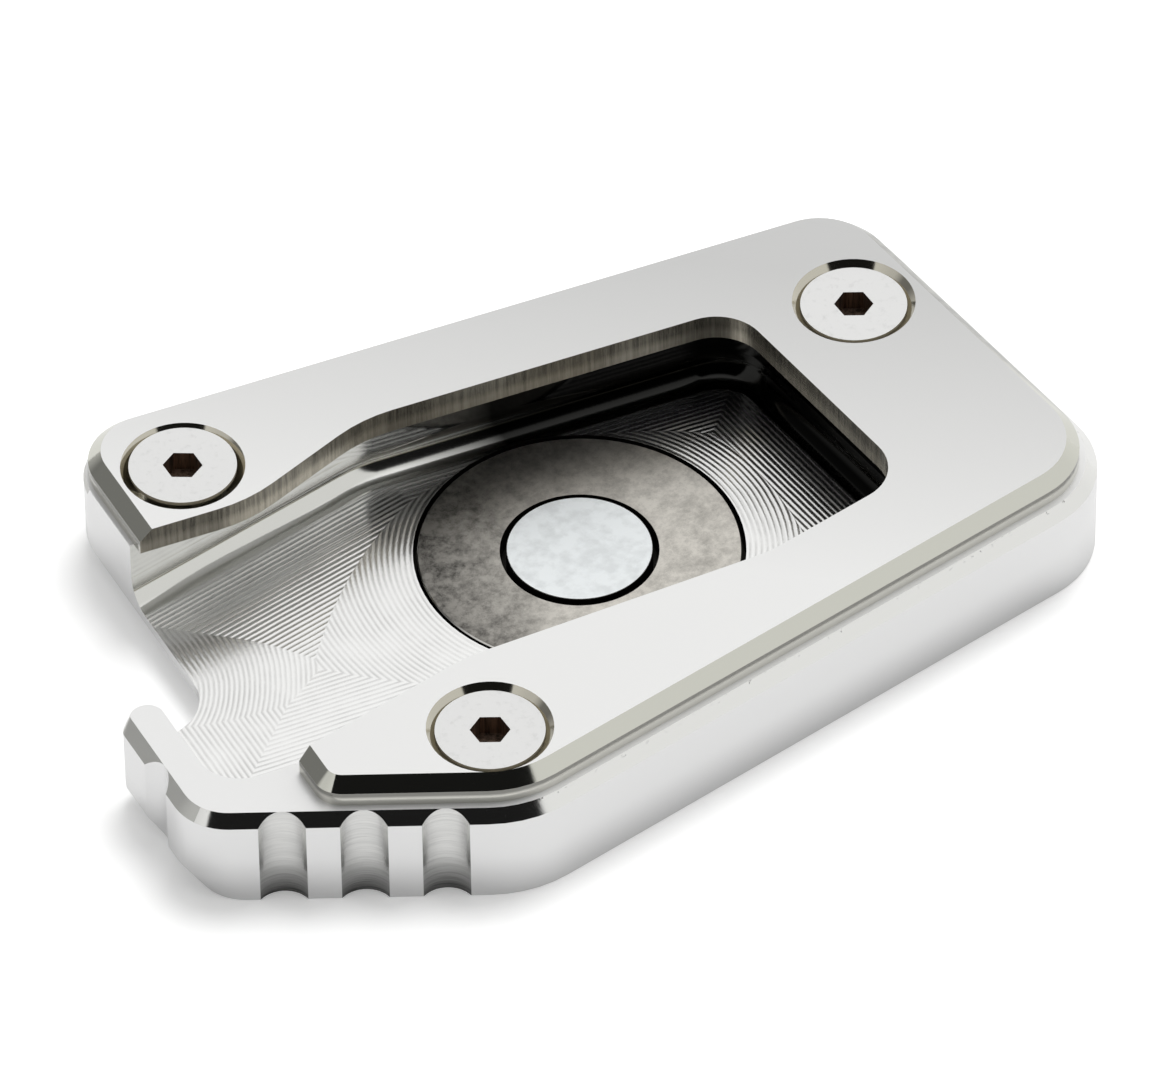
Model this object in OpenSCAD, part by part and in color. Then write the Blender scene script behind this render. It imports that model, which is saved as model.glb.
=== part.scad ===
// Side stand foot: a machined aluminium sole that enlarges the foot of a
// motorbike's side stand. The stand's own foot drops into the pocket, and a
// U shaped plate screwed on top holds it down. A magnet sits in the floor.
// X runs along the straight near edge, Y towards the back edge, Z upwards.
// The origin is under the middle of the outline, on the sole.

/* [Sole block] */
// Length of the straight near edge, corner to corner
near_edge = 66.6; // [62:0.1:82]
// Length of the right end, corner to corner
right_edge = 42.3; // [38:0.1:51]
// Lean of the right end from square to the near edge
right_lean = 3.7; // [0:0.5:6]
// Slope of the back edge, down towards the right end
back_taper = 15.4; // [12:0.1:18]
// Lean of the left end and of the finger's outer wall
end_lean = 10.7; // [8:0.1:14]
// Slope of the fluted edge
flute_slope = 37.4; // [34:0.1:42]
// Length of the fluted edge, corner to corner
flute_edge = 28.7; // [27:0.1:36]
// Height of the sole block
base_h = 9.5; // [8.5:0.1:12]
// Width of the bevel round the top edge of the block
base_bevel = 1; // [0.5:0.1:1.2]
// Radius of the right near corner
corner_rn = 9; // [5:0.1:10]
// Radius of the right back corner
corner_rb = 8; // [5:0.1:10]
// Radius of the left back corner
corner_lb = 7; // [5:0.1:9]
// Radius where the finger turns into the fluted edge
corner_finger = 5.2; // [4.5:0.1:8]
// Radius where the fluted edge turns into the near edge
corner_flute = 11; // [6:0.1:14]

/* [Left end] */
// Distance from the finger's corner back to the left end, across the notch
end_step = 8.9; // [8:0.1:12]
// Distance of the finger's tip from the near edge
tip_y = 31; // [30:0.1:33]
// Slope of the notch's lower side, up from the tip
notch_slope = 8; // [0:1:15]
// Radius in the inner corner of the notch
notch_r = 4.5; // [3:0.1:6]
// Thickness of the finger that closes the near side of the pocket
finger_t = 3.8; // [3.6:0.1:5]
// Radius at the finger's tip
tip_r = 1.5; // [1:0.1:1.7]
// Height of the bevel under the left end
heel_h = 2.2; // [1:0.1:2.6]
// Width of the bevel under the left end
heel_w = 1.5; // [0.5:0.1:2]

/* [Pocket] */
// Thickness of the pocket's floor
floor_t = 3.2; // [3:0.1:4]
// Radius at the foot of the pocket's walls
foot_r = 2.4; // [1:0.1:3]
// How far the clamp plate reaches over the pocket's edge
lip = 2.3; // [1.5:0.1:2.8]
// Radius in the pocket's corners
pocket_r = 6; // [4:0.1:8]

/* [Flutes] */
// Distance of the first flute from the fluted edge's near end
flute_at = 7.3; // [7:0.1:9]
// Distance between two flutes
flute_pitch = 6.9; // [6:0.1:7.5]
// Radius of a flute
flute_r = 2.5; // [2:0.1:3]
// Depth of a flute
flute_d = 1.02; // [0.6:0.01:1.2]

/* [Clamp plate] */
// Thickness of the plate
plate_t = 2.5; // [2:0.1:3]
// Width of the bevel round its outer edge
plate_bevel = 1.15; // [0.5:0.05:1.5]
// Flat rim of the block that shows round the plate
rim = 0.6; // [0.3:0.1:1]
// Distance of the plate's left end from the block's
end_rim = 0.4; // [0.2:0.1:1]
// Width of the back arm at its screw
back_arm_wide = 16.4; // [15:0.1:17]
// Width of the back arm past its screw
back_arm = 10.9; // [10:0.1:12]
// Width of the near arm at its screw
near_arm_wide = 16.4; // [15:0.1:17]
// Width of the near arm past its screw
near_arm = 10.2; // [9:0.1:11]
// Width of the bridge at the right end
bridge = 17.9; // [16:0.1:20]
// Radii in the opening's right corners
opening_r = 4.5; // [3:0.1:6]
// Radius of the opening's bends
bend_r = 14; // [5:1:20]

/* [Screws] */
// Thread diameter
screw_d = 5; // [5:0.5:6]
// Length of a screw below its head's land
screw_l = 8; // [7:0.1:8.5]
// How much higher the left screw stands than the others
left_up = 0.45; // [0:0.05:0.5]
// Diameter of the head
head_d = 9.4; // [9:0.1:10.4]
// Height of the straight land under the head's face
land_h = 0.35; // [0.1:0.05:0.5]
// Depth of the land's lower edge below the plate's face
sink = 0.7; // [0.5:0.05:0.9]
// Socket size across flats
hex_af = 3; // [2.5:0.5:4]
// Depth of the socket
hex_depth = 1.9; // [1.5:0.1:2.2]
// Gap between a screw and its seat and hole
screw_gap = 0.03; // [0.02:0.01:0.1]

/* [Magnet] */
// Outer diameter of the steel ring
ring_d = 28.3; // [23.6:0.1:30]
// Thickness of the steel ring
ring_t = 2.2; // [1.8:0.1:2.4]
// Bevel on the ring's outer edge
ring_bevel = 0.35; // [0.1:0.05:0.5]
// Gap round the ring
ring_gap = 0.35; // [0.1:0.05:0.6]
// Diameter of the magnet
magnet_d = 12.8; // [10:0.1:15.4]
// How far the magnet stands above the ring
magnet_proud = 0.2; // [0:0.05:0.4]
// Gap round the magnet
magnet_gap = 0.55; // [0.1:0.05:0.8]

/* [Hidden] */
$fn = 48;
over = 1;
arc_step = 7.5;
foot_steps = 4;

// Unit vector at an angle, and the point some way along it
function dir(a) = [cos(a), sin(a)];
function go(p, a, d) = p + d * dir(a);
function across(a, b) = a[0] * b[1] - a[1] * b[0];
// Where the line through p at angle a meets the line through q at angle b
function meet(p, a, q, b) = p + dir(a) * across(q - p, dir(b)) / across(dir(a), dir(b));

// An outline is a list of [point, radius], walked with its inside on the left.
// Each corner becomes an arc, and grow moves every edge outwards, except those
// whose first point has a 0 after its radius.
function heading(o, i) = let (d = o[(i + 1) % len(o)][0] - o[i][0]) atan2(d[1], d[0]);
function turn(a, b) = let (t = (b - a) % 360) t > 180 ? t - 360 : (t < -180 ? t + 360 : t);
// Centre of the arc of radius r at corner b, between the headings a and a + t
function arc_centre(b, a, t, r) = let (s = sign(t))
    meet(b + s * r * dir(a + 90), a, b + s * r * dir(a + t + 90), a + t);
function corner(o, i, grow) = let (
    before = (i + len(o) - 1) % len(o),
    a = heading(o, before),
    t = turn(a, heading(o, i)),
    g1 = o[before][2] == 0 ? 0 : grow,
    g2 = o[i][2] == 0 ? 0 : grow,
    b = meet(o[i][0] - g1 * dir(a + 90), a, o[i][0] - g2 * dir(a + t + 90), a + t),
    r = max(0.1, o[i][1] + sign(t) * (g1 + g2) / 2),
    c = arc_centre(b, a, t, r),
    k = max(1, ceil(abs(t) / arc_step))
) [for (j = [0:k]) c - sign(t) * r * dir(a + 90 + t * j / k)];
function trace(o, grow = 0) = [for (i = [0:len(o) - 1]) each corner(o, i, grow)];

// Headings of the block's edges
near_a = 0;
right_a = 90 - right_lean;
back_a = 180 - back_taper;
end_a = 270 - end_lean;
flute_a = 360 - flute_slope;

// Sharp corners of the block, from the near end of the fluted edge
p_near = [0, 0];
p_right = go(p_near, near_a, near_edge);
p_back = go(p_right, right_a, right_edge);
p_finger = go(p_near, flute_a, -flute_edge);
p_tip = meet(p_finger, end_a, [0, tip_y], near_a);
p_notch = go(p_tip, notch_slope, end_step + finger_t / 2);
p_left = meet(p_back, back_a, p_notch, end_a);
base_outline = [[p_near, corner_flute], [p_right, corner_rn], [p_back, corner_rb],
    [p_left, corner_lb, 0], [p_notch, notch_r, 0], [p_tip, tip_r], [p_finger, corner_finger]];

// Middle of the outline's box, which becomes the origin
c_back = arc_centre(p_back, right_a, turn(right_a, back_a), corner_rb);
c_left = arc_centre(p_left, back_a, turn(back_a, end_a), corner_lb);
c_finger = arc_centre(p_finger, end_a, turn(end_a, flute_a), corner_finger);
mid = [(c_back[0] + corner_rb + c_finger[0] - corner_finger) / 2, (c_left[1] + corner_lb) / 2];

// Lines along which the opening of the plate and the pocket run, each at a
// distance d from the block's wall
function near_line(d) = go(p_near, near_a + 90, d);
function right_line(d) = go(p_right, right_a + 90, d);
function back_line(d) = go(p_back, back_a + 90, d);
function end_line(d) = go(p_notch, end_a + 90, d);
function flute_line(d) = go(p_near, flute_a + 90, d);
function finger_line(d) = go(p_finger, end_a + 90, d);
left_out = p_finger[0] - 10;

// Opening of the clamp plate, wider past the two left screws
bend_near_l = [p_near[0] + 6, near_arm_wide];
bend_near_r = [p_near[0] + 34, near_arm];
bend_back_l = meet(back_line(back_arm_wide), back_a, [p_near[0] + 3.2, 0], 90);
bend_back_r = meet(back_line(back_arm), back_a, [p_near[0] + 17, 0], 90);
opening = [
    [bend_near_l, bend_r], [bend_near_r, bend_r],
    [meet(near_line(near_arm), near_a, right_line(bridge), right_a), opening_r],
    [meet(right_line(bridge), right_a, back_line(back_arm), back_a), opening_r],
    [bend_back_r, bend_r], [bend_back_l, bend_r],
    [meet(back_line(back_arm_wide), back_a, [left_out, 0], 90), over],
    [[left_out, near_arm_wide], over]
];

// Pocket of the block, under the plate's lip
pocket_back = meet(back_line(back_arm - lip), back_a, [p_near[0] + 17.5, 0], 90);
pocket_end = meet(end_line(0), end_a, back_line(back_arm_wide - lip + 1.2), back_a);
pocket_near = [p_near[0] + 25, near_arm - lip];
pocket_a = -14.5;
past_tip = p_tip + [0, 3];
pocket = [
    [meet(finger_line(finger_t), end_a, pocket_near, pocket_a), max(foot_r + 1.6, corner_finger - finger_t)],
    [pocket_near, bend_r],
    [meet(near_line(near_arm - lip), near_a, right_line(bridge - lip), right_a), pocket_r],
    [meet(right_line(bridge - lip), right_a, back_line(back_arm - lip), back_a), pocket_r],
    [pocket_back, bend_r],
    [[left_out, pocket_end[1]], 5],
    [[left_out, past_tip[1]], 5],
    [meet(finger_line(finger_t), end_a, past_tip, near_a), 0.6]
];

// Outer outline of the clamp plate, which follows the block's edges
setback = base_bevel + rim;
tip_x = -12.1;
jog_y = tip_y;
plate_end = end_line(end_rim);
plate_tip = [tip_x, near_arm_wide];
plate_outline = [
    [meet(flute_line(setback), flute_a, near_line(setback), near_a), corner_flute - setback],
    [meet(near_line(setback), near_a, right_line(setback), right_a), corner_rn - setback],
    [meet(right_line(setback), right_a, back_line(setback), back_a), corner_rb - setback],
    [meet(back_line(setback), back_a, plate_end, end_a), corner_lb - setback],
    [meet(plate_end, end_a, [0, jog_y], 0), over],
    [meet(plate_tip, end_a, [0, jog_y], 0), over],
    [meet(plate_tip, end_a, flute_line(setback), flute_a), 2.6]
];

// Centres of the screws and of the magnet
at_left = [1.35, 50.42];
at_right = [59.73, 30.05];
at_near = [2.23, 8.55];
at_magnet = [27.1, 27.8];

// Solid through outlines at growing heights: levels is a list of [z, grow]
module stack(o, levels) {
    rings = [for (l = levels) [for (p = trace(o, l[1])) [p[0], p[1], l[0]]]];
    n = len(rings[0]);
    m = len(rings);
    polyhedron(
        points = [for (r = rings) each r],
        faces = concat(
            [[for (i = [0:n - 1]) i]],
            [for (k = [0:m - 2], i = [0:n - 1]) let (j = (i + 1) % n)
                [k * n + i, (k + 1) * n + i, (k + 1) * n + j, k * n + j]],
            [[for (i = [n - 1:-1:0]) (m - 1) * n + i]]
        ),
        convexity = 8
    );
}

// Everything inside a bevel of width w round the top edge at height h
module bevelled(o, h, w) {
    stack(o, [[-over, 0.5], [h - w - 0.5, 0.5], [h + 0.5, -w - 0.5]]);
}

// Everything above the bevel under the walls that have no bevel on top, and
// under the finger's
module heel(o) {
    k = heel_w / heel_h;
    below = [for (i = [0:len(o) - 1]) [o[i][0], o[i][1], i > 2 && i < 6 ? 1 : 0]];
    stack(below, [[-0.5, -k * (heel_h + 0.5)], [heel_h + 0.3, k * 0.3], [base_h + over, k * 0.3]]);
}

module prism(o, h) {
    linear_extrude(h) polygon(trace(o));
}

// Tool for the pocket, rounded at the foot of its walls and flat on the floor
module pocket_cut() {
    intersection() {
        translate([-150, -150, floor_t]) cube([300, 300, base_h]);
        stack(pocket, concat(
            [[floor_t - 0.2, -foot_r - 1]],
            [for (k = [1:foot_steps]) let (a = 90 * k / foot_steps)
                [floor_t + foot_r * (1 - cos(a)), -foot_r * (1 - sin(a))]],
            [[base_h + 20, 0]]
        ));
    }
}

// Rounds the finger's tip on the pocket's side, with the same foot as the walls
module tip_cut() {
    c = meet(finger_line(finger_t - tip_r), end_a, go(p_tip, notch_slope - 90, tip_r), notch_slope);
    e = dir(end_a + 90) * (tip_r + foot_r);
    n = dir(notch_slope + 90) * (tip_r + 1);
    steps = [for (k = [1:foot_steps]) let (a = 90 * k / foot_steps)
        [floor_t + foot_r * (1 - cos(a)), tip_r + foot_r * (1 - sin(a))]];
    difference() {
        translate([0, 0, steps[0][0]]) linear_extrude(base_h) polygon([c, c + e, c + e + n, c + n]);
        for (k = [0:foot_steps - 2]) {
            slope = (steps[k][1] - steps[k + 1][1]) / (steps[k + 1][0] - steps[k][0]);
            rise = steps[k + 1][0] - floor_t;
            translate([c[0], c[1], floor_t - over]) cylinder(r1 = steps[k + 1][1] + slope * (rise + over),
                r2 = steps[k + 1][1] - slope * 0.2, h = rise + over + 0.2);
        }
        translate(c) cylinder(r = tip_r, h = 2 * base_h);
    }
}

// One flute, some way along a wall from its corner p
module flute(p, a, along) {
    translate(go(go(p, a, along), a + 90, flute_d - flute_r))
        translate([0, 0, -over]) cylinder(r = flute_r, h = base_h + 2 * over);
}

module screw_hole() {
    r = screw_d / 2 + screw_gap;
    depth = screw_l + sink - plate_t + 0.6;
    translate([0, 0, base_h - depth]) cylinder(r = r, h = depth + over);
    translate([0, 0, base_h - relief]) cylinder(r1 = r, r2 = r + relief + over, h = relief + over);
}
relief = head_d / 2 + sink - plate_t - screw_d / 2;

module base_plate() {
    color("silver") difference() {
        intersection() {
            prism(base_outline, base_h);
            bevelled(base_outline, base_h, base_bevel);
            heel(base_outline);
        }
        pocket_cut();
        tip_cut();
        for (k = [0:2]) flute(p_near, flute_a, -flute_at - flute_pitch * k);
        flute(p_finger, end_a, -6.9);
        for (p = [at_left, at_right, at_near]) translate(p) screw_hole();
        translate(at_magnet) translate([0, 0, floor_t - ring_t])
            cylinder(d = ring_d + 2 * ring_gap, h = base_h);
    }
}

module clamp_plate() {
    translate([0, 0, base_h]) color("gainsboro") difference() {
        intersection() {
            prism(plate_outline, plate_t);
            bevelled(plate_outline, plate_t, plate_bevel);
        }
        translate([0, 0, -over]) prism(opening, plate_t + 2 * over);
        for (p = [at_left, at_right, at_near]) translate([p[0], p[1], plate_t]) {
            r = head_d / 2 + sink + screw_gap;
            translate([0, 0, -plate_t - over])
                cylinder(r1 = r - plate_t - over, r2 = r + over, h = plate_t + 2 * over);
            translate([0, 0, -plate_t - over]) cylinder(d = screw_d + 2 * screw_gap, h = plate_t + over);
        }
    }
}

// Countersunk screw, its head's face turned by a
module screw(a) {
    r = head_d / 2;
    neck = r - screw_d / 2;
    difference() {
        union() {
            cylinder(r = r, h = land_h);
            translate([0, 0, -neck]) cylinder(r1 = screw_d / 2, r2 = r, h = neck);
            translate([0, 0, -screw_l]) cylinder(d = screw_d, h = screw_l - neck / 2);
        }
        translate([0, 0, land_h - hex_depth]) rotate(a)
            cylinder(d = hex_af / cos(30), h = hex_depth + over, $fn = 6);
    }
}

module screw_at(p, a, up = 0) {
    translate([p[0], p[1], base_h + plate_t - sink + up]) color("lightgray") screw(a);
}

module steel_ring() {
    translate(at_magnet) translate([0, 0, floor_t - ring_t]) color("dimgray") difference() {
        intersection() {
            cylinder(d = ring_d, h = ring_t);
            translate([0, 0, -over])
                cylinder(r1 = ring_d / 2 + ring_t + over - ring_bevel + over,
                    r2 = ring_d / 2 - ring_bevel - over, h = ring_t + 2 * over);
        }
        translate([0, 0, -over]) cylinder(d = magnet_d + 2 * magnet_gap, h = ring_t + 2 * over);
    }
}

module magnet() {
    translate(at_magnet) translate([0, 0, floor_t - ring_t]) color("lightsteelblue")
        cylinder(d = magnet_d, h = ring_t + magnet_proud);
}

translate([-mid[0], -mid[1], 0]) {
    base_plate();
    clamp_plate();
    screw_at(at_left, 20, left_up);  // screw_left
    screw_at(at_right, 22);  // screw_right
    screw_at(at_near, 22);  // screw_near
    steel_ring();
    magnet();
}
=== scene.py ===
"""Side stand foot: a machined aluminium sole block with a pocket, a clamp plate screwed
on top of it, three countersunk screws, and a steel ring with a magnet in the floor."""
import math

import bpy
import bmesh
import mathutils
import numpy as np
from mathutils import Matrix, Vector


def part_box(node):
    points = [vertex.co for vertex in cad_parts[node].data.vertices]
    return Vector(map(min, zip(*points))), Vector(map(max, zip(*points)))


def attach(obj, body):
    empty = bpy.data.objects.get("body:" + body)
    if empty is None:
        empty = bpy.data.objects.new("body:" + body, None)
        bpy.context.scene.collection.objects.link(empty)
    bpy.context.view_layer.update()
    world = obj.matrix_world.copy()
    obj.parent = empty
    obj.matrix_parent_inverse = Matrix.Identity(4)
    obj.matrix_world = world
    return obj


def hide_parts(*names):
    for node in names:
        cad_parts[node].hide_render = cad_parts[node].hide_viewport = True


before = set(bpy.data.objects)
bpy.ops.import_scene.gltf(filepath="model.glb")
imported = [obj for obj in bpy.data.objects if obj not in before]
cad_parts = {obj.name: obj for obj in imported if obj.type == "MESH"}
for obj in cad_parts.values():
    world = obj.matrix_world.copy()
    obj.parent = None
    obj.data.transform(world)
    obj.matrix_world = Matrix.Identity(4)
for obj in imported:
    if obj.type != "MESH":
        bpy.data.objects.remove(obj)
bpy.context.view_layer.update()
MM = 0.001

# ---------------------------------------------------------------- camera and studio
# A long lens looks down on the part from its left near side. The studio is a white
# tent whose side towards the camera is dark, which blackens every bevel that faces it,
# and a large lamp behind the part on its right throws a short soft shadow to the left.
ELEVATION = math.radians(43.9087)
ROLL = math.radians(-0.7494)
DISTANCE = 988.35 * MM
TARGET = np.array([-0.3855, -8.3574, 12.0]) * MM
HEADING = math.radians(38)
FORWARD_XY = np.array([math.sin(HEADING), math.cos(HEADING), 0.0])
RIGHT = np.array([math.cos(HEADING), -math.sin(HEADING), 0.0])
LENS_PX, PICTURE_WIDTH, SENSOR_WIDTH = 11507.8, 1166, 36

forward = FORWARD_XY * math.cos(ELEVATION) - np.array([0, 0, math.sin(ELEVATION)])
up = FORWARD_XY * math.sin(ELEVATION) + np.array([0, 0, math.cos(ELEVATION)])
cam_right = math.cos(ROLL) * RIGHT + math.sin(ROLL) * up
cam_up = -math.sin(ROLL) * RIGHT + math.cos(ROLL) * up
camera_data = bpy.data.cameras.new("camera")
camera_data.sensor_width = SENSOR_WIDTH
camera_data.lens = LENS_PX / PICTURE_WIDTH * SENSOR_WIDTH
camera_data.clip_start = 0.01
camera = bpy.data.objects.new("camera", camera_data)
pose = np.eye(4)
pose[:3, 0], pose[:3, 1], pose[:3, 2] = cam_right, cam_up, -forward
pose[:3, 3] = TARGET - DISTANCE * forward
camera.matrix_world = mathutils.Matrix(pose.tolist())
bpy.context.scene.collection.objects.link(camera)
bpy.context.scene.camera = camera
bpy.context.scene.view_settings.view_transform = "Standard"


def linear(hex_colour):
    """Linear RGBA of an sRGB hex colour."""
    c = np.array([int(hex_colour[i : i + 2], 16) / 255 for i in (1, 3, 5)])
    c = np.where(c <= 0.04045, c / 12.92, ((c + 0.055) / 1.055) ** 2.4)
    return (*c.tolist(), 1.0)


def add(tree, kind, *inputs, sockets=None, **settings):
    """Adds a node of a kind, named without its ShaderNode, with its properties, and fills
    its sockets, in order or by name, with values or links."""
    made = tree.nodes.new("ShaderNode" + kind)
    for name, value in settings.items():
        setattr(made, name, value)
    for key, value in [*enumerate(inputs), *(sockets or {}).items()]:
        if isinstance(value, bpy.types.Node):
            value = value.outputs[0]
        if isinstance(value, bpy.types.NodeSocket):
            tree.links.new(value, made.inputs[key])
        else:
            made.inputs[key].default_value = value
    return made


def mixed(tree, share, low, high):
    """Colour low where the share is 0, and high where it is 1."""
    return add(tree, "Mix", share, sockets={6: low, 7: high}, data_type="RGBA").outputs[2]


# The tent's wall as degrees from the camera's side, positive to the right, and a level,
# near the table and high up
WALL_LOW = [(-180, 1.02), (-140, 0.60), (-116, 0.20), (-98, 0.22), (-86, 0.72), (-44.5, 0.80),
    (-43, 0.010), (48, 0.010), (51, 0.80), (110, 0.80), (180, 1.02)]
WALL_HIGH = [(-180, 1.02), (-150, 0.75), (-126, 0.10), (-98, 0.06), (-84, 0.60), (-44.5, 0.80),
    (-43, 0.010), (48, 0.010), (51, 0.80), (110, 0.80), (180, 1.02)]
WALL_BLUE = 0.985
# Heights at which the low wall becomes the high one, and the wall the roof, as the sine
# of the angle above the table
HIGH_FROM, HIGH_TO, ROOF_FROM, ROOF_TO = 0.42, 0.58, 0.86, 0.93
WHITE = (1.0, 1.0, 1.0, 1.0)
world = bpy.data.worlds.new("studio")
bpy.context.scene.world = world
world.use_nodes = True
sky = world.node_tree
sky.nodes.clear()
ray = add(sky, "TexCoord").outputs["Generated"]
to_camera = add(sky, "VectorMath", ray, tuple(-FORWARD_XY), operation="DOT_PRODUCT").outputs["Value"]
to_right = add(sky, "VectorMath", ray, tuple(RIGHT), operation="DOT_PRODUCT").outputs["Value"]
height = add(sky, "SeparateXYZ", ray).outputs[2]
azimuth = add(sky, "Math", to_right, to_camera, operation="ARCTAN2")
side = add(sky, "MapRange", azimuth, -math.pi, math.pi, 0.0, 1.0)
walls = []
for stops in (WALL_LOW, WALL_HIGH):
    wall = add(sky, "ValToRGB", side)
    for degrees, level in stops[1:-1]:
        wall.color_ramp.elements.new(degrees / 360 + 0.5)
    for element, (degrees, level) in zip(wall.color_ramp.elements, stops):
        element.position = degrees / 360 + 0.5
        element.color = (level, level, level * WALL_BLUE, 1)
    walls.append(wall)
lift = add(sky, "MapRange", height, HIGH_FROM, HIGH_TO, 0.0, 1.0)
wall = mixed(sky, lift, walls[0], walls[1])
light = mixed(sky, add(sky, "MapRange", height, ROOF_FROM, ROOF_TO, 0.0, 1.0), wall, WHITE)
# Only the camera sees white behind the part: the metal mirrors the tent, which gives its
# bevels their black
shown = mixed(sky, add(sky, "LightPath").outputs["Is Camera Ray"], light, WHITE)
add(sky, "OutputWorld", add(sky, "Background", shown, 1.0))

# The lamp isn't mirrored, because a lamp's disc would burn out the polished walls
LAMP_SIDE, LAMP_UP, LAMP_POWER, LAMP_WIDTH = math.radians(150), math.radians(68), 1.3, math.radians(28)
toward = (-FORWARD_XY * math.cos(LAMP_SIDE) + RIGHT * math.sin(LAMP_SIDE)) * math.cos(LAMP_UP)
lamp_data = bpy.data.lights.new("lamp", "SUN")
lamp_data.energy = LAMP_POWER
lamp_data.angle = LAMP_WIDTH
lamp = bpy.data.objects.new("lamp", lamp_data)
lamp.visible_glossy = False
lamp.rotation_euler = mathutils.Vector((*toward[:2], math.sin(LAMP_UP))).to_track_quat("Z", "Y").to_euler()
bpy.context.scene.collection.objects.link(lamp)

TABLE = 6.0
floor_mesh = bpy.data.meshes.new("floor")
floor_mesh.from_pydata([(-TABLE, -TABLE, 0), (TABLE, -TABLE, 0), (TABLE, TABLE, 0), (-TABLE, TABLE, 0)], [],
    [(0, 1, 2, 3)])
floor = bpy.data.objects.new("floor", floor_mesh)
bpy.context.scene.collection.objects.link(floor)
# White paper, lit from below too and overexposed in the camera's eye, so that only the
# shadow shows. It has no pattern at this distance.
PAPER, PAPER_SEEN, PAPER_GLOW = (0.70, 0.70, 0.70, 1), (1.02, 1.02, 1.02, 1), 0.20
paper = bpy.data.materials.new("white_paper")
paper.use_nodes = True
tree = paper.node_tree
tree.nodes.clear()
bright = mixed(tree, add(tree, "LightPath").outputs["Is Camera Ray"], PAPER, PAPER_SEEN)
glow = add(tree, "Emission", WHITE, PAPER_GLOW)
add(tree, "OutputMaterial", add(tree, "AddShader", add(tree, "BsdfDiffuse", bright), glow))
floor_mesh.materials.append(paper)


# ---------------------------------------------------------------- sole block
# One piece of aluminium, milled all over: the pocket by a ball-nosed cutter that left
# grooves parallel to every wall, the outside with an end mill, and a bevel on top.
SCREWS = ("screw_left", "screw_right", "screw_near")
screw_axes = [(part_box(node)[0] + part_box(node)[1]) / 2 for node in SCREWS]
# Vertices nearer than WELD mm are one, and faces that turn by less than FLAT are one. An
# edge sharper than SHARP is broken outside HOLE_R mm of a screw, and a gentler one than
# SMOOTH is shaded round.
WELD, FLAT, SHARP, SMOOTH, HOLE_R = 0.002, math.radians(0.4), math.radians(35), math.radians(30), 6.2


def merged_copy(node, name, broken=0.0):
    """A CAD node's mesh with its loose triangles joined, its flat faces made whole, and
    its edges broken by a small round some mm wide, except where a screw hole is cut."""
    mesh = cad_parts[node].data.copy()
    mesh.name = name
    mesh.materials.clear()
    bm = bmesh.new()
    bm.from_mesh(mesh)
    bmesh.ops.remove_doubles(bm, verts=bm.verts, dist=WELD * MM)
    bmesh.ops.dissolve_degenerate(bm, edges=bm.edges, dist=WELD * MM)
    bmesh.ops.dissolve_limit(bm, angle_limit=FLAT, verts=bm.verts, edges=bm.edges)
    if broken:
        edges = []
        for e in bm.edges:
            middle = (e.verts[0].co + e.verts[1].co).xy / 2
            if e.calc_face_angle(0) > SHARP and min((middle - a.xy).length for a in screw_axes) > HOLE_R * MM:
                edges.append(e)
        bmesh.ops.bevel(bm, geom=edges, offset=broken * MM, segments=2, profile=0.5, affect="EDGES",
            clamp_overlap=True)
    bm.to_mesh(mesh)
    bm.free()
    smooth_below(mesh, SMOOTH)
    made = bpy.data.objects.new(name, mesh)
    bpy.context.scene.collection.objects.link(made)
    return made


def smooth_below(mesh, angle):
    """Shades a face's corner with the direction of the sum of area_i * normal_i over the
    faces i at its vertex for which normal_i . normal > cos(angle)."""
    n, corners = len(mesh.polygons), len(mesh.loops)
    normal, area = np.empty(n * 3), np.empty(n)
    start, vertex = np.empty(n, np.int32), np.empty(corners, np.int32)
    mesh.polygons.foreach_get("normal", normal)
    mesh.polygons.foreach_get("area", area)
    mesh.polygons.foreach_get("loop_start", start)
    mesh.loops.foreach_get("vertex_index", vertex)
    normal = normal.reshape(n, 3)
    face = np.searchsorted(start, np.arange(corners), side="right") - 1
    order = np.argsort(vertex, kind="stable")
    vertex, face_of = vertex[order], face[order]
    total = np.zeros((corners, 3))
    # In this order the corners at one vertex are neighbours
    most = int(np.bincount(vertex).max()) - 1
    for shift in range(-most, most + 1):
        i = np.arange(max(0, -shift), min(corners, corners - shift))
        i = i[vertex[i] == vertex[i + shift]]
        a, b = normal[face_of[i]], normal[face_of[i + shift]]
        near = (a * b).sum(1) > math.cos(angle)
        total[i[near]] += b[near] * area[face_of[i + shift]][near, None]
    smooth = np.empty_like(total)
    smooth[order] = total / np.maximum(np.linalg.norm(total, axis=1, keepdims=True), 1e-30)
    mesh.shade_smooth()
    mesh.normals_split_custom_set(smooth.tolist())


def faces_of(piece):
    """Centres in mm and normals of a piece's faces, and whether each faces away from
    the middle, as arrays."""
    n = len(piece.data.polygons)
    centre, normal = np.empty(n * 3), np.empty(n * 3)
    piece.data.polygons.foreach_get("center", centre)
    piece.data.polygons.foreach_get("normal", normal)
    centre, normal = centre.reshape(n, 3) / MM, normal.reshape(n, 3)
    return centre, normal, (centre[:, :2] * normal[:, :2]).sum(1) > 0


def paint(piece, materials, index):
    """Gives a piece its materials, and each face the number of its own."""
    for material in materials:
        piece.data.materials.append(material)
    piece.data.polygons.foreach_set("material_index", np.asarray(index, dtype=np.int32))


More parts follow.
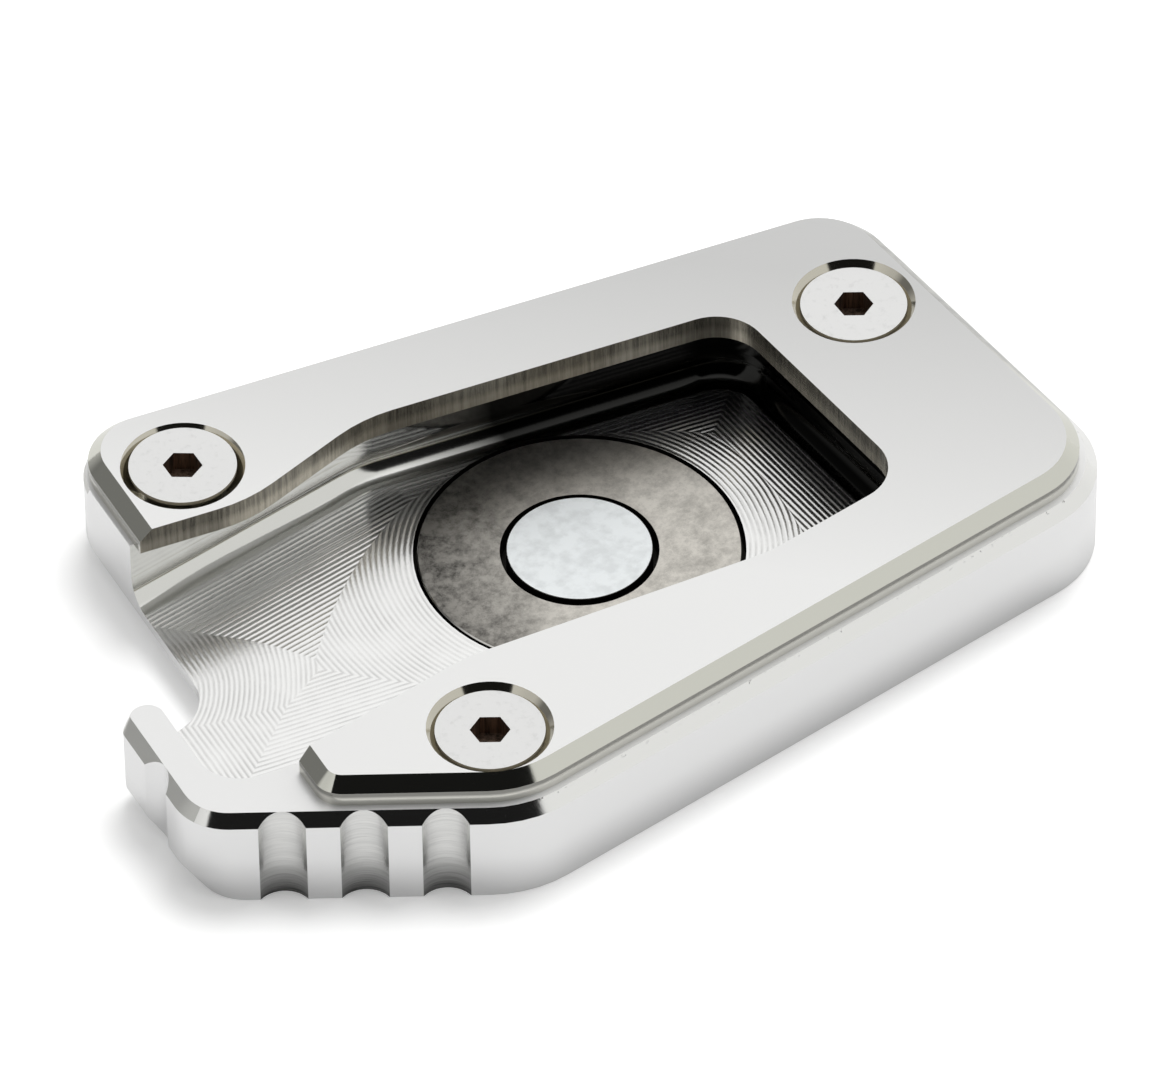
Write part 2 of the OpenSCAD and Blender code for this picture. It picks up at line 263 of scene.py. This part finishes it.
def metal(name, colour, roughness, marks, bump, depth, metallic=1.0):
    """A bare metal. marks(tree, place) gives a height from 0 to 1 and how dark a stain is,
    or None, and depth is the height's range in mm."""
    material = bpy.data.materials.new(name)
    material.use_nodes = True
    tree = material.node_tree
    tree.nodes.clear()
    level, stain = marks(tree, add(tree, "TexCoord").outputs["Object"])
    raised = add(tree, "Bump", sockets={"Strength": bump, "Distance": depth * MM, "Height": level})
    base = linear(colour) if stain is None else mixed(tree, stain, linear(colour), (0, 0, 0, 1))
    add(tree, "OutputMaterial", add(tree, "BsdfPrincipled", sockets={"Base Color": base,
        "Metallic": metallic, "Roughness": roughness, "Normal": raised}))
    return material


def grain(tree, place, per_mm, detail=3.0, rough=0.6):
    """Noise with its own number of waves per mm along each axis."""
    scaled = add(tree, "VectorMath", place, tuple(f / MM for f in per_mm), operation="MULTIPLY")
    return add(tree, "TexNoise", sockets={"Vector": scaled, "Scale": 1.0, "Detail": detail,
        "Roughness": rough})


def chatter(tree, place):
    """Upright marks of an end mill, 0.3 mm apart and 20 mm long."""
    return grain(tree, place, (3.2, 3.2, 0.05), 4.0, 0.7)


def along(tree, place, direction, start, end, low, high):
    """A level that goes from low to high between two distances in mm along a direction."""
    run = add(tree, "VectorMath", place, tuple(d / MM for d in direction), operation="DOT_PRODUCT")
    return add(tree, "MapRange", run.outputs["Value"], start, end, low, high)


# The middle of the outline's box in the drawing, whose zero is the corner of the fluted
# and the near edge
MID = np.array([23.3155, 30.3074])


def left_of(heading):
    """Unit vector to the left of a heading in degrees."""
    a = math.radians(heading + 90)
    return np.array([math.cos(a), math.sin(a)])


def line_distance(tree, place, point, heading):
    """Distance n . (place - point) in mm to the left of a line through a point, where n
    is the unit vector at heading + 90 degrees."""
    n = left_of(heading)
    dot = add(tree, "VectorMath", place, (n[0] / MM, n[1] / MM, 0), operation="DOT_PRODUCT")
    return add(tree, "Math", dot.outputs["Value"], -float(n @ (np.asarray(point) - MID)), operation="ADD")


def circle_distance(tree, place, centre, radius):
    """Distance in mm out of an upright cylinder."""
    flat = add(tree, "VectorMath", place, (1, 1, 0), operation="MULTIPLY")
    axis = (*((centre - MID) * MM).tolist(), 0)
    away = add(tree, "VectorMath", flat, axis, operation="DISTANCE")
    return add(tree, "Math", away.outputs["Value"], 1 / MM, -radius, operation="MULTIPLY_ADD")


# Points of the drawing in mm, and headings in degrees. The pocket's foot follows lines
# that are set in from the right and the back edge.
RIGHT_FOOT, RIGHT_HEADING, RIGHT_INSET = np.array([66.6, 0.0]), 86.3, 15.6
BACK_FOOT, BACK_HEADING, BACK_INSET = np.array([69.33, 42.21]), 164.6, 8.6
FINGER_HEADING = 259.3
POCKET_FOOT = [((0, 7.9), 0), ((25, 7.9), -14.5),
    (RIGHT_FOOT + RIGHT_INSET * left_of(RIGHT_HEADING), RIGHT_HEADING),
    (BACK_FOOT + BACK_INSET * left_of(BACK_HEADING), BACK_HEADING),
    ((0, 46.9), 180), ((-17.5, 26.85), FINGER_HEADING)]
AT_MAGNET, MAGNET_PASS_R = np.array([27.1, 27.8]), 11.0
# The notch is a wedge with a rounded corner
NOTCH_CORNER, NOTCH_HEADINGS, NOTCH_R, NOTCH_OVERRUN = (-9.2, 32.5), (FINGER_HEADING, 188), 4.5, 3.65
GROOVE, GROOVE_WANDER = 0.5, 0.12


def pocket_milled(tree, place):
    """Grooves at every half millimetre of the distance to the nearest wall, as height
    (1 + sin(2 pi distance / GROOVE)) / 2, and dirt in their feet in patches 4 mm wide."""
    distances = [line_distance(tree, place, point, heading) for point, heading in POCKET_FOOT]
    distances.append(circle_distance(tree, place, AT_MAGNET, MAGNET_PASS_R))
    sides = [add(tree, "Math", add(tree, "Math", line_distance(tree, place, NOTCH_CORNER, heading),
        NOTCH_R, operation="ADD"), 0.0, operation="MAXIMUM") for heading in NOTCH_HEADINGS]
    corner = add(tree, "VectorMath", add(tree, "CombineXYZ", *sides), operation="LENGTH").outputs["Value"]
    distances.append(add(tree, "Math", corner, NOTCH_R - NOTCH_OVERRUN, operation="SUBTRACT"))
    nearest = distances[0]
    for distance in distances[1:]:
        nearest = add(tree, "Math", nearest, distance, operation="MINIMUM")
    wander = add(tree, "Math", grain(tree, place, (0.3, 0.3, 0.3)), GROOVE_WANDER, nearest,
        operation="MULTIPLY_ADD")
    phase = add(tree, "Math", wander, 2 * math.pi / GROOVE, operation="MULTIPLY")
    wave = add(tree, "Math", add(tree, "Math", phase, operation="SINE"), 0.5, 0.5, operation="MULTIPLY_ADD")
    level = add(tree, "Math", grain(tree, place, (6, 6, 6)), 0.25, wave, operation="MULTIPLY_ADD")
    deep = add(tree, "Math", add(tree, "Math", 1.0, wave, operation="SUBTRACT"), 3.0, operation="POWER")
    patchy = add(tree, "MapRange", grain(tree, place, (0.25, 0.25, 0.25)), 0.35, 0.65, 0.05, 0.30)
    return level, add(tree, "Math", deep, patchy, operation="MULTIPLY")


def side_milled(tree, place):
    """Chatter marks alone."""
    return chatter(tree, place), None


def milled_painted_foot_shade(tree, place):
    """Chatter marks, and a painted reflection of the table's shadow that darkens the wall over its lowest 4.5
    mm.
    """
    return chatter(tree, place), along(tree, place, (0, 0, 1), 0.0, 4.5, 0.15, 0.0)


def pocket_wall_painted_shade(tree, place):
    """Chatter marks, and painted shade that darkens the walls towards the deep right end, under the plate."""
    return chatter(tree, place), along(tree, place, (0.97, 0.24, 0), 1.0, 10.0, 0.0, 0.97)


def bevel_cut(tree, place):
    """Chatter marks, and nicks 0.6 mm wide along the bevel's upper edge."""
    nick = add(tree, "MapRange", grain(tree, place, (1.6, 1.6, 1.6), 4.0, 0.75), 0.60, 0.66, 0.0, 0.75)
    edge = along(tree, place, (0, 0, 1), 9.22, 9.36, 0.0, 1.0)
    return chatter(tree, place), add(tree, "Math", nick, edge, operation="MULTIPLY")


def flute_lines_painted_foot_shade(tree, place):
    """Fine level lines with faint smears along them, and a painted reflection of the table's shadow that
    darkens the foot of the flute.
    """
    lines = grain(tree, place, (0.15, 0.15, 5.0), 4.0, 0.7)
    foot = along(tree, place, (0, 0, 1), 0.0, 4.0, 0.85, 0.02)
    smear = add(tree, "MapRange", lines, 0.4, 0.7, 0.0, 0.18)
    return lines, add(tree, "Math", foot, smear, operation="ADD", use_clamp=True)


def face_milled(tree, place):
    """A satin face: grit 0.1 mm wide, and faint clouds 8 mm wide."""
    clouds = grain(tree, place, (0.12, 0.12, 0.12), 2.0, 0.5)
    grit = grain(tree, place, (9, 9, 9), 2.0, 0.6)
    return add(tree, "Math", clouds, 0.6, grit, operation="MULTIPLY_ADD"), None


# Face-milled aluminium: satin, nearly white under a white roof, grit 0.1 mm wide
block_top = metal("aluminium_face_milled", "#EEEEEE", 0.40, face_milled, 0.10, 0.02, 0.45)
# Side-milled aluminium: a blurred mirror of the table, darkened over its lowest 4.5 mm by a painted
# reflection of the table's shadow, upright marks 0.3 mm apart
block_wall = metal("aluminium_side_milled_painted_foot_shade", "#EEEEEE", 0.20, milled_painted_foot_shade, 0.22, 0.02)
# Bevels cut last, with a sharp tool: a clear mirror, white or black, nicks 0.6 mm wide
block_bevel = metal("aluminium_bevel_cut", "#F6F6F4", 0.10, bevel_cut, 0.10, 0.02)
# The bevel along the finger, cut by a worn tool: clouded, upright marks 0.3 mm apart
block_rough = metal("aluminium_bevel_clouded", "#D2D2CE", 0.34, milled_painted_foot_shade, 0.25, 0.03, 0.6)
# Flutes cut with a ball-nosed tool from the side: level lines 0.2 mm apart, the foot darkened by a painted
# reflection of the table's shadow
block_flute = metal("aluminium_flute_cut_painted_foot_shade", "#ECECEA", 0.22, flute_lines_painted_foot_shade, 0.45, 0.03)
# Pocket floor: grooves 0.5 mm apart that glitter, with dirt in patches
block_floor = metal("aluminium_pocket_milled", "#F4F4F4", 0.19, pocket_milled, 0.45, 0.05)
# Pocket walls and their rounded foot: nearly polished by a finishing pass, and painted black towards the deep
# end as the shade under the plate
block_pocket = metal("aluminium_pocket_wall_painted_shade", "#E2E2DE", 0.09, pocket_wall_painted_shade, 0.10, 0.02)
# The magnet's bore: bare metal painted near-black as the shade in its gap, upright marks 0.3 mm apart
block_bore = metal("aluminium_bore_painted_shade", "#3A3936", 0.45, side_milled, 0.1, 0.02)

FLUTE_HEADING = math.radians(-37.4)
FLUTES, FLUTE_AT, FLUTE_PITCH, FLUTE_R, FLUTE_D = 3, 7.3, 6.9, 2.5, 1.02
FLOOR_T, BLOCK_H, BLOCK_BEVEL, BORE_R = 3.2, 9.5, 1.1, 15
# A face with a normal this steep is level, and one this low is upright
LEVEL, UPRIGHT = 0.99, 0.05
TOP, WALL, BEVEL, FLUTE, FLOOR, POCKET, BORE, CLOUDED = range(8)
block = merged_copy("base_plate", "sole_block", 0.08)
centre, normal, outward = faces_of(block)
steep, z = np.abs(normal[:, 2]), centre[:, 2]
index = np.where(steep > LEVEL, TOP, np.where(outward, WALL, POCKET))
index[(steep > UPRIGHT) & (steep < LEVEL) & (z > BLOCK_H - BLOCK_BEVEL)] = BEVEL
index[(index == BEVEL) & (normal[:, 0] < -0.68)] = CLOUDED
index[(steep > LEVEL) & (np.abs(z - FLOOR_T) < 0.1)] = FLOOR
from_magnet = np.hypot(*(centre[:, :2] - AT_MAGNET + MID).T)
index[(z < FLOOR_T - 0.1) & (z > 0.5) & (from_magnet < BORE_R)] = BORE
edge = np.array([math.cos(FLUTE_HEADING), math.sin(FLUTE_HEADING)])
for k in range(FLUTES):
    axis = np.array([edge[1], -edge[0]]) * (FLUTE_R - FLUTE_D) - (FLUTE_AT + FLUTE_PITCH * k) * edge - MID
    index[(steep < 0.3) & (np.hypot(*(centre[:, :2] - axis).T) < FLUTE_R + 0.06)] = FLUTE
paint(block, [block_top, block_wall, block_bevel, block_flute, block_floor, block_pocket, block_bore,
    block_rough], index)
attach(block, "root")
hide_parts("base_plate")


# ---------------------------------------------------------------- clamp plate
# A U shaped plate of the same aluminium, 2.5 mm thick, cut from sheet. It hooks over
# the stand's foot and is held by three countersunk screws.
def plate_face_painted_shade(tree, place):
    """The satin face, and painted shade that darkens it over 38 mm towards the bridge at the right end."""
    level, stain = face_milled(tree, place)
    return level, along(tree, place, (0.75, 0.66, 0), -8.0, 30.0, 0.02, 0.30)


def edge_painted_shadow_line(tree, place):
    """Chatter marks, and a painted shadow line 0.6 mm high under the bevel."""
    return chatter(tree, place), along(tree, place, (0, 0, 1), 10.2, 10.5, 0.0, 0.62)


def opening_cut(tree, place):
    """Coarse upright marks 0.4 mm apart, with brown oil in them, thicker near the top."""
    coarse = grain(tree, place, (2.4, 2.4, 0.10), 5.0, 0.75)
    oil = add(tree, "MapRange", coarse, 0.40, 0.62, 0.05, 0.40)
    top = along(tree, place, (0, 0, 1), 10.2, 11.0, 0.0, 0.35)
    return coarse, add(tree, "Math", oil, top, operation="ADD")


def bevel_painted_dark_reflection(tree, place):
    """Chatter marks, and a painted dark reflection in the bevel along the right edge, broken every 1.2 mm."""
    # This level is a painted dark reflection along the bevel's right edge.
    dirt = along(tree, place, (1, 0.065, 0), 40.3, 41.6, 0.0, 0.72)
    broken = add(tree, "MapRange", grain(tree, place, (0.8, 0.8, 0.8), 4.0, 0.7), 0.35, 0.60, 1.0, 0.6)
    return chatter(tree, place), add(tree, "Math", dirt, broken, operation="MULTIPLY")


def hole_cut(tree, place):
    """Faint marks down the cone, 0.25 mm apart, nearly polished out."""
    return grain(tree, place, (4, 4, 0.4), 3.0, 0.6), None


# Ground face: satin, a blurred mirror of the roof, grit 0.1 mm wide, with painted shade towards the right end
plate_top = metal("aluminium_plate_face_painted_shade", "#EFEFEF", 0.30, plate_face_painted_shade, 0.10, 0.02, 0.65)
# Sawn and milled edge: dull white with a painted shadow line under the bevel, upright marks 0.3 mm apart
plate_edge = metal("aluminium_plate_edge_painted_shadow", "#DAD9D2", 0.16, edge_painted_shadow_line, 0.3, 0.03)
# Bevel: a clear mirror, warm white or black, upright marks 0.3 mm apart, with a painted dark reflection along
# the right edge
plate_bevel = metal("aluminium_plate_bevel_painted_dark_reflection", "#DCDCD3", 0.08, bevel_painted_dark_reflection, 0.08, 0.02)
# The opening's wall: brown-grey and rough, upright marks 0.4 mm apart
plate_inside = metal("aluminium_opening_cut", "#D6CFBE", 0.22, opening_cut, 0.7, 0.04, 0.72)
# Countersinks: a warm mirror with a black arc, faint marks 0.25 mm apart
plate_hole = metal("aluminium_countersink", "#CFCBBE", 0.10, hole_cut, 0.08, 0.02)
plate = merged_copy("clamp_plate", "u_plate", 0.06)
centre, normal, outward = faces_of(plate)
steep = np.abs(normal[:, 2])
FACE, EDGE, SLOPE, INSIDE, HOLE = range(5)
COUNTERSINK_R = 5.5
index = np.where(steep > LEVEL, FACE, np.where(steep > UPRIGHT, SLOPE, np.where(outward, EDGE, INSIDE)))
for axis in screw_axes:
    index[(steep < LEVEL) & (np.hypot(*(centre[:, :2] - np.array(axis.xy) / MM).T) < COUNTERSINK_R)] = HOLE
paint(plate, [plate_top, plate_edge, plate_bevel, plate_inside, plate_hole], index)
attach(plate, "root")
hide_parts("clamp_plate")


# ---------------------------------------------------------------- screws
# Three stainless M5 countersunk screws with a 3 mm hex socket. The heads are bare.
def turned(tree, place):
    """Forged grit with faint shallow dents 0.7 mm wide."""
    grit = grain(tree, place, (1.4, 1.4, 1.4), 5.0, 0.65)
    return grit, add(tree, "MapRange", grit, 0.55, 0.75, 0.0, 0.14)


def broached(tree, place):
    """Upright scores of the punch 0.4 mm apart, with brown grease between them."""
    scores = grain(tree, place, (2.6, 2.6, 0.15), 4.0, 0.7)
    return scores, add(tree, "MapRange", scores, 0.38, 0.62, 0.1, 0.75)


# Forged stainless head: soft white glints, dents 0.7 mm wide
screw_face = metal("stainless_forged", "#E4E4E4", 0.26, turned, 0.35, 0.04, 0.7)
# The head's cone: warm grey in its narrow joint, grit 0.7 mm wide
screw_side = metal("stainless_turned", "#BDB6A6", 0.35, turned, 0.15, 0.02, 0.4)
# The socket's walls: brown-black, upright scores 0.4 mm apart
screw_socket = metal("stainless_socket_greased", "#A8907E", 0.28, broached, 0.5, 0.04, 0.8)
SOCKET_R, SOCKET_DEPTH = 1.85, 2.0
HEAD, SIDE, SOCKET = range(3)
for node, axis in zip(SCREWS, screw_axes):
    screw = merged_copy(node, node + "_bright")
    centre, normal, _ = faces_of(screw)
    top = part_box(node)[1].z / MM
    away = np.hypot(*(centre[:, :2] - np.array(axis.xy) / MM).T)
    face = (normal[:, 2] > LEVEL) & (centre[:, 2] > top - 0.1)
    socket = ~face & (away < SOCKET_R) & (centre[:, 2] > top - SOCKET_DEPTH)
    paint(screw, [screw_face, screw_side, screw_socket], np.where(face, HEAD, np.where(socket, SOCKET, SIDE)))
    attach(screw, "root")
    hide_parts(node)


# ---------------------------------------------------------------- ring and magnet
# A ground steel ring stands in the floor's round bore, and a zinc plated magnet disc
# in the ring holds the stand's foot.
def ground(tree, place):
    """Grinding lines 0.3 mm apart, patina in blotches 2 mm wide, and painted shade that darkens the left
    side.
    """
    lines = grain(tree, place, (0.5, 3.5, 3.5), 5.0, 0.7)
    blotch = add(tree, "MapRange", grain(tree, place, (0.45, 0.45, 0.45), 9.0, 0.85), 0.42, 0.64, 0.0, 0.42)
    # Painted shade: the ring darkens towards its left side.
    left = along(tree, place, (0.86, -0.5, 0), -8.0, 3.0, 0.62, 0.0)
    return lines, add(tree, "Math", left, blotch, operation="ADD", use_clamp=True)


def plain(tree, place):
    """Fine grit 0.25 mm wide."""
    return grain(tree, place, (4, 4, 4), 2.0, 0.5), None


# Ground steel: brown-grey, its left side darkened by painted shade, lines 0.3 mm apart
ring_face = metal("steel_ground_painted_shade", "#D9D5CE", 0.33, ground, 0.35, 0.03)
# The ring's broken edge: a bright line, grit 0.25 mm wide
ring_edge = metal("steel_broken_edge", "#E6E4E0", 0.15, plain, 0.05, 0.02)
# The sides stand in the joints, painted near-black as the shade in the gaps, grit 0.25 mm wide
ring_side = metal("steel_side_painted_shade", "#3C3A37", 0.45, plain, 0.05, 0.02)
ring = merged_copy("steel_ring", "ring_ground")
centre, normal, _ = faces_of(ring)
GROUND, BROKEN, SHADED_SIDE = range(3)
paint(ring, [ring_face, ring_edge, ring_side],
    np.where(normal[:, 2] > LEVEL, GROUND, np.where(normal[:, 2] > 0.3, BROKEN, SHADED_SIDE)))
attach(ring, "root")
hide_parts("steel_ring")


def plated(tree, place):
    """Flaky zinc: pale patches about 1 mm wide."""
    patches = grain(tree, place, (0.7, 0.7, 0.7), 5.0, 0.6)
    return patches, add(tree, "MapRange", patches, 0.42, 0.62, 0.0, 0.13)


# Zinc plating: bluish white and matt, patches 1 mm wide
disc_face = metal("magnet_zinc_plated", "#F8FCFE", 0.42, plated, 0.35, 0.04, 0.75)
disc = merged_copy("magnet", "magnet_disc", 0.08)
centre, normal, _ = faces_of(disc)
paint(disc, [disc_face, ring_side], np.where(normal[:, 2] > LEVEL, 0, 1))
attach(disc, "root")
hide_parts("magnet")
